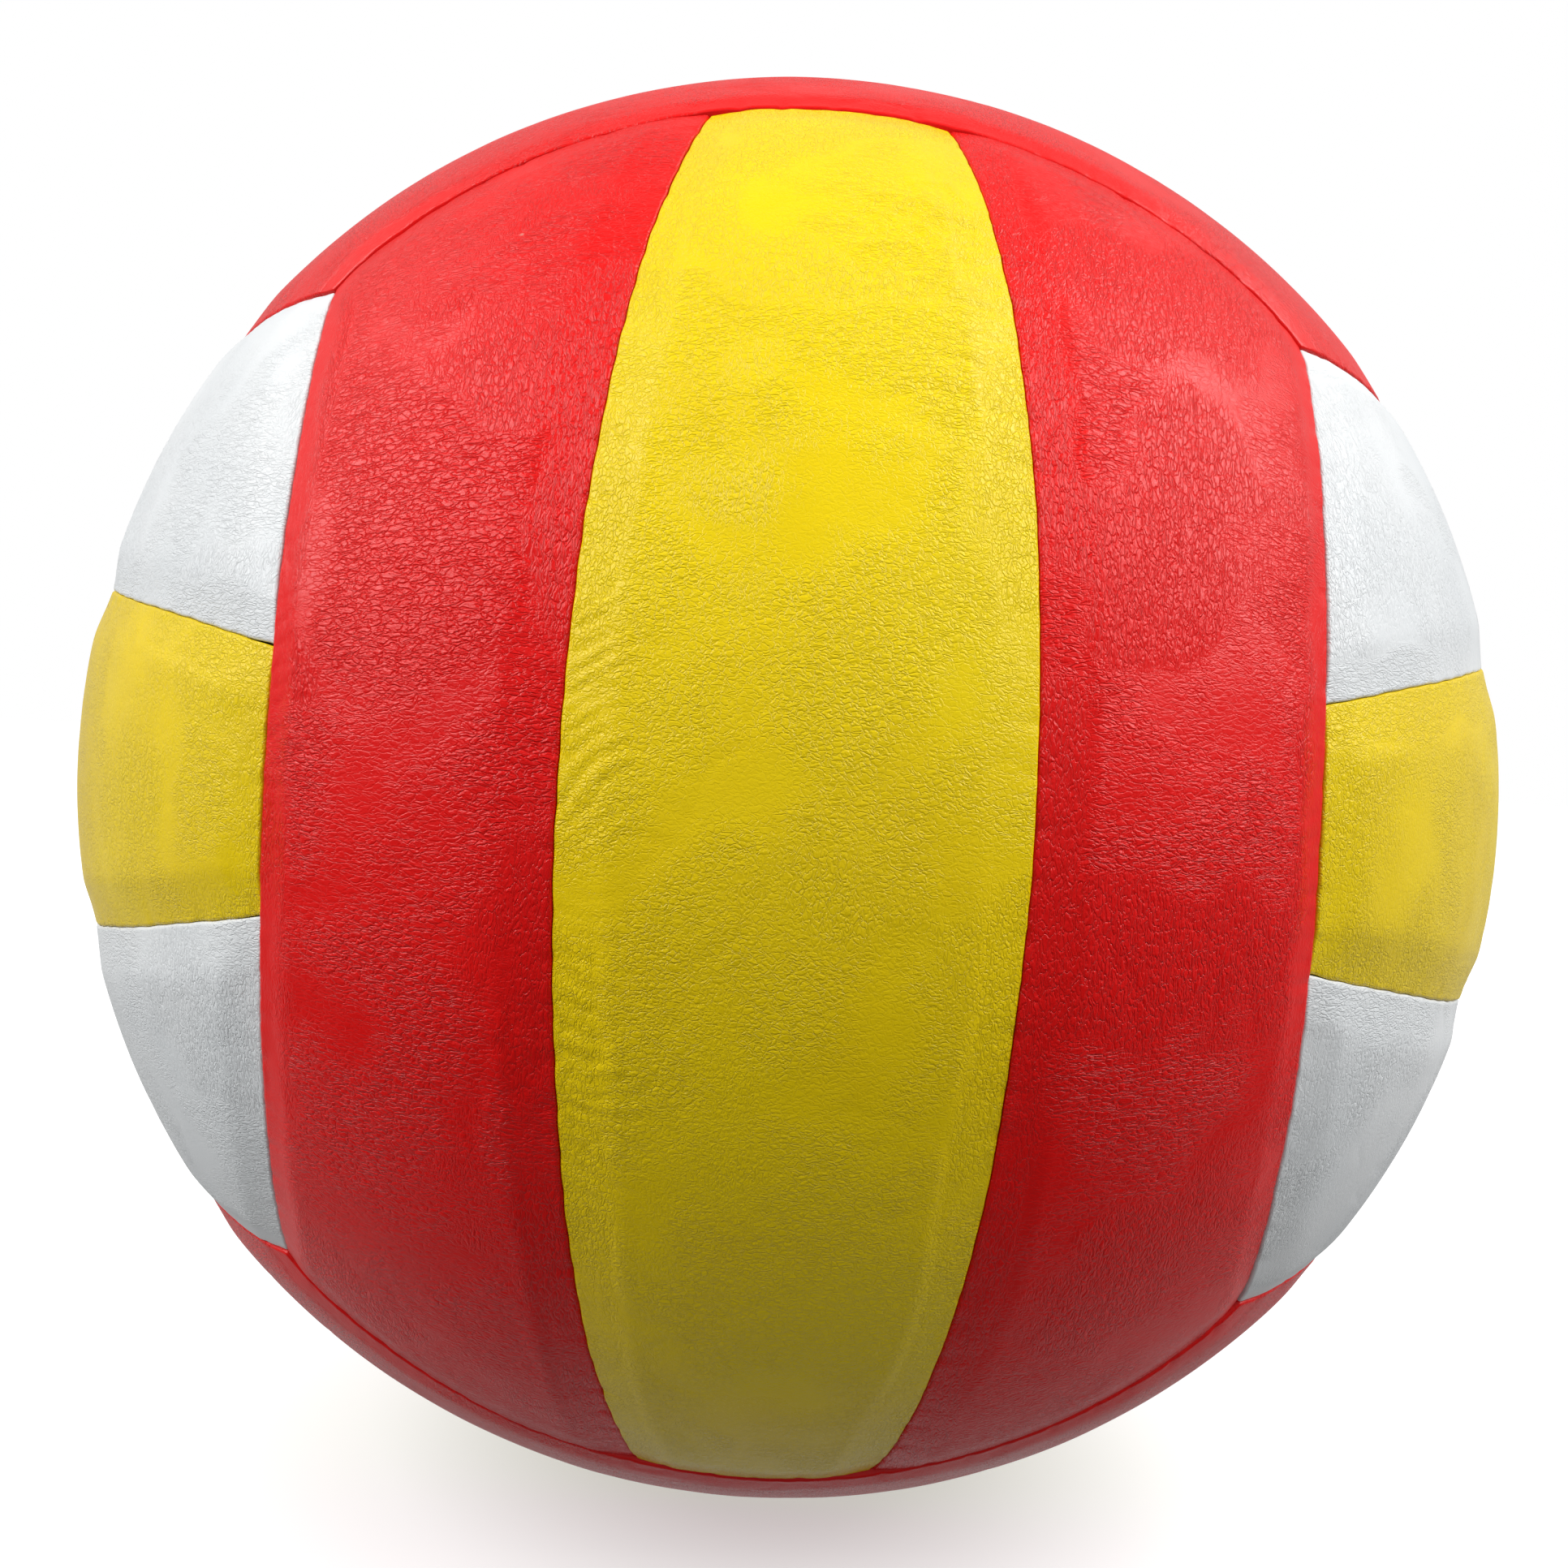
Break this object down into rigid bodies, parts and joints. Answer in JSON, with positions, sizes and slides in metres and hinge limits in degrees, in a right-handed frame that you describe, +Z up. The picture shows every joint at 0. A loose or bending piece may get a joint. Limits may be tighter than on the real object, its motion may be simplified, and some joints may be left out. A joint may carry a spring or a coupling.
{
  "type": "volleyball",
  "caption": "Inflated ball sewn from grained synthetic leather strips in red, yellow and white, with a bladder and needle valve inside; for volleyball, ball tricks and circus acts.",
  "frame": {"origin": "centre of the ball", "axes": "+Z up through the middle of the top face, whose strips run side to side along X; -Y out through the middle of the front centre strip, which runs up and down; +Y out through the valve in the rear centre strip; +X to the right"},
  "size_m": [0.21, 0.21, 0.21],
  "materials": {
    "red_leather": "semi-gloss grained synthetic leather, red",
    "yellow_leather": "semi-gloss grained synthetic leather, yellow",
    "white_leather": "semi-gloss grained synthetic leather, white",
    "thread": "waxed polyester thread, natural",
    "bladder_rubber": "matt butyl rubber, black",
    "valve_rubber": "moulded rubber, black",
    "core_rubber": "self-sealing rubber plug, brown",
    "patch_cloth": "coated cloth, natural"
  },
  "bodies": {
    "root": {"front_left_panel": "red_leather", "front_centre_panel": "yellow_leather", "front_right_panel": "red_leather", "rear_left_panel": "red_leather", "rear_centre_panel": "yellow_leather", "rear_right_panel": "red_leather", "left_lower_panel": "white_leather", "left_centre_panel": "yellow_leather", "left_upper_panel": "white_leather", "right_lower_panel": "white_leather", "right_centre_panel": "yellow_leather", "right_upper_panel": "white_leather", "top_front_panel": "red_leather", "top_centre_panel": "yellow_leather", "top_rear_panel": "red_leather", "bottom_front_panel": "red_leather", "bottom_centre_panel": "yellow_leather", "bottom_rear_panel": "red_leather", "front_left_seam_thread": "thread", "front_right_seam_thread": "thread", "rear_left_seam_thread": "thread", "rear_right_seam_thread": "thread", "left_lower_seam_thread": "thread", "left_upper_seam_thread": "thread", "right_lower_seam_thread": "thread", "right_upper_seam_thread": "thread", "top_front_seam_thread": "thread", "top_rear_seam_thread": "thread", "bottom_front_seam_thread": "thread", "bottom_rear_seam_thread": "thread", "front_left_edge_thread": "thread", "front_right_edge_thread": "thread", "rear_left_edge_thread": "thread", "rear_right_edge_thread": "thread", "left_bottom_edge_thread": "thread", "left_top_edge_thread": "thread", "right_bottom_edge_thread": "thread", "right_top_edge_thread": "thread", "top_front_edge_thread": "thread", "top_rear_edge_thread": "thread", "bottom_front_edge_thread": "thread", "bottom_rear_edge_thread": "thread", "bladder": "bladder_rubber", "valve_body": "valve_rubber", "valve_core": "core_rubber", "valve_patch": "patch_cloth"}
  },
  "joints": []
}
